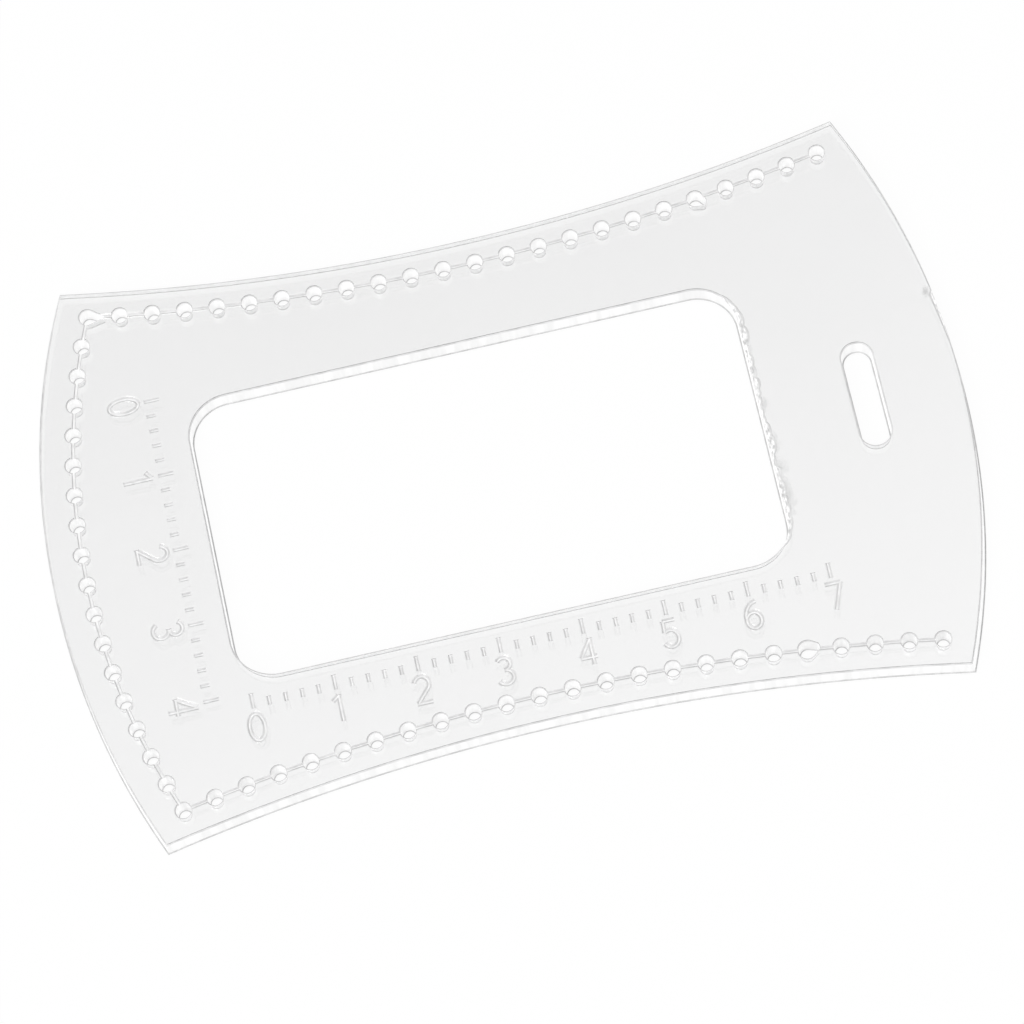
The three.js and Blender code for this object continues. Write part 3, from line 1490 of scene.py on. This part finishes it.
@dataclass(frozen=True)
class Viewpoint:
    """The photograph's camera: angles in degrees, lengths in millimetres and pixels.

    Clip is the nearest and farthest distance that it sees, in metres.
    """

    azimuth: float = -90.671
    elevation: float = 66.647
    roll: float = -12.845
    distance: float = 635.65
    target: Triple = (-0.276, -5.116, 3.0)
    focal_pixels: float = 5324.0
    image_pixels: float = 1024.0
    sensor: float = 36.0
    clip: tuple[float, float] = (0.01, 20.0)

    def build(self) -> bpy.types.Object:
        """Makes the camera and makes it the scene's.

        Returns:
            The camera.
        """
        azimuth, elevation, roll = map(math.radians, (self.azimuth, self.elevation, self.roll))
        away = Vector(
            (
                math.cos(elevation) * math.cos(azimuth),
                math.cos(elevation) * math.sin(azimuth),
                math.sin(elevation),
            )
        )
        right = (-away).cross(Vector((0.0, 1.0, 0.0))).normalized()
        up = right.cross(-away)
        turned_right = math.cos(roll) * right + math.sin(roll) * up
        turned_up = math.cos(roll) * up - math.sin(roll) * right
        lens = bpy.data.cameras.new("photo_camera")
        lens.sensor_width = self.sensor
        lens.lens = self.focal_pixels / self.image_pixels * self.sensor
        lens.clip_start, lens.clip_end = self.clip
        camera = placed("photo_camera", lens)
        place = (Vector(self.target) + self.distance * away) * MM
        axes = Matrix((turned_right, turned_up, away)).transposed().to_4x4()
        camera.matrix_world = Matrix.Translation(place) @ axes
        bpy.context.scene.camera = camera
        return camera


@dataclass(frozen=True)
class Studio:
    """Pale floor, pale surroundings and one large soft lamp, with lengths in metres.

    The surroundings are white, apart from a soft patch about mirror_axis, which the faces
    mirror. The patch fades in between the two cosines of mirror_fade. Its strength is
    sky_level, plus sky_across for each unit of X, less sky_fall for each unit of Y.
    """

    floor_size: float = 4.0
    floor_drop: float = 0.00004
    floor_glow: float = 0.95
    floor_grey: float = 0.9
    floor_strength: float = 1.0
    lamp_power: float = 20.0
    lamp_size: float = 1.2
    lamp_place: Triple = (-1.0, -1.1, 1.5)
    sky_level: float = 2.41
    sky_across: float = 0.5
    sky_fall: float = 4.2
    mirror_axis: Triple = (0.0, 0.4, 0.917)
    mirror_fade: tuple[float, float] = (0.94, 0.98)

    @staticmethod
    def seen_directly(graph: Graph) -> Value:
        """Tells the rays that show the background: straight, mirrored or through the plate.

        Args:
            graph: The material's tree.

        Returns:
            1 for such rays and 0 for all others.
        """
        path = graph.node("ShaderNodeLightPath")
        straight = Value(graph, path.outputs["Is Camera Ray"])
        through = straight.math("MAXIMUM", path.outputs["Is Transmission Ray"])
        return through.math("MAXIMUM", path.outputs["Is Glossy Ray"])

    def floor(self) -> bpy.types.Object:
        """Makes the floor that the template lies on.

        Returns:
            The floor.
        """
        half = self.floor_size / 2
        corners = [(-half, -half), (half, -half), (half, half), (-half, half)]
        mesh = bpy.data.meshes.new("studio_floor")
        mesh.from_pydata([(x, y, -self.floor_drop) for x, y in corners], [], [(0, 1, 2, 3)])
        material = bpy.data.materials.new("studio_floor")
        graph = emptied(material)
        grey = (self.floor_grey, self.floor_grey, self.floor_grey, 1.0)
        diffuse = graph.node("ShaderNodeBsdfDiffuse", None, {"Color": grey})
        glow = graph.node("ShaderNodeEmission", None, {"Strength": self.floor_strength})
        share = self.seen_directly(graph) * self.floor_glow
        mix = graph.node(
            "ShaderNodeMixShader", None, {0: share, 1: diffuse.outputs[0], 2: glow.outputs[0]}
        )
        graph.node("ShaderNodeOutputMaterial", None, {"Surface": mix.outputs[0]})
        mesh.materials.append(material)
        floor = placed("studio_floor", mesh)
        return floor

    def sky(self) -> bpy.types.World:
        """Makes the surroundings: white where the camera looks, graded for the light.

        Returns:
            The world.
        """
        world = bpy.data.worlds.new("studio_sky")
        graph = emptied(world)
        direction = graph.node("ShaderNodeTexCoord").outputs["Generated"]
        across = graph.toward(direction, (1.0, 0.0, 0.0)) * self.sky_across
        fall = graph.toward(direction, (0.0, 1.0, 0.0)) * self.sky_fall
        graded = (across - fall + self.sky_level).math("MINIMUM", 1.0).math("MAXIMUM", 0.0)
        near_mirror = graph.toward(direction, self.mirror_axis).smooth(*self.mirror_fade)
        light = 1.0 - (1.0 - graded) * near_mirror
        path = graph.node("ShaderNodeLightPath")
        straight = Value(graph, path.outputs["Is Camera Ray"])
        strength = light + straight * (1.0 - light)
        shade = graph.node("ShaderNodeBackground", None, {"Strength": strength})
        graph.node("ShaderNodeOutputWorld", None, {"Surface": shade.outputs[0]})
        bpy.context.scene.world = world
        return world

    def lamp(self) -> bpy.types.Object:
        """Makes the large soft lamp.

        Returns:
            The lamp, aimed at the origin.
        """
        light = bpy.data.lights.new("soft_lamp", "AREA")
        light.shape = "SQUARE"
        light.size = self.lamp_size
        light.energy = self.lamp_power
        lamp = placed("soft_lamp", light)
        lamp.location = self.lamp_place
        lamp.rotation_euler = (-Vector(self.lamp_place)).to_track_quat("-Z", "Y").to_euler()
        return lamp

    def build(self) -> None:
        """Makes the floor, the surroundings and the lamp."""
        self.floor()
        self.sky()
        self.lamp()
        bpy.context.scene.view_settings.view_transform = "Standard"


def layer_heights() -> Cutting:
    """Takes the heights of the layers from the frame's solids.

    Returns:
        The sizes of the cut, with those heights.
    """
    low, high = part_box(Node.PLATE.value)
    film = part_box(Node.FRONT_FILM.value)
    return Cutting(bottom=low[2] / MM, top=high[2] / MM, film_top=film[1][2] / MM)


def main() -> None:
    """Builds the template and its studio."""
    logging.basicConfig(level=logging.INFO, format="%(name)s: %(message)s")
    outline = Outline()
    stitching = Stitching()
    cutting = layer_heights()
    heights = (cutting.bottom, cutting.top, cutting.film_top)
    LOG.info("plate from %.2f to %.2f mm, film to %.2f mm", *heights)
    surfaces = {surface: finish.build() for surface, finish in PLATE_FINISHES.items()}
    scales = (
        Scale("window_scale", (-35.2, -22.2), 0.0, 7, 3.4),
        Scale("end_scale", (-40.9, 20.0), -math.pi / 2, 4, 3.6),
    )
    punches = Punches(outline, stitching, cutting).build(surfaces[Surface.HOLE_WALL])
    rows = stitching.rows(outline)
    engraving = Engraver(cutting).build(rows, stitching, scales, surfaces[Surface.GROOVE_SIDE])
    cutters = [*punches, *engraving]
    holes = [hole for row in rows for hole in row]
    pieces = [
        AcrylicPlate(outline, cutting, holes, surfaces).build(cutters),
        MaskingFilm(
            Node.FRONT_FILM,
            "front_film",
            outline,
            grow=-cutting.rim_width,
            chipped=1.0,
            strayed=0.0,
            bottom=cutting.top + cutting.film_gap,
            top=cutting.film_top,
        ).build(cutters, FRONT_FILM.build()),
        MaskingFilm(
            Node.BACK_FILM,
            "back_film",
            outline,
            grow=cutting.lean - cutting.bead_width,
            chipped=0.0,
            strayed=1.0,
            bottom=0.0,
            top=cutting.bottom - cutting.film_gap,
        ).build(punches, BACK_FILM.build()),
    ]
    for cutter in cutters:
        bpy.data.objects.remove(cutter)
    for piece in pieces:
        LOG.info("%s: %d faces", piece.name, len(piece.data.polygons))
    Viewpoint().build()
    Studio().build()


if __name__ == "__main__":
    main()
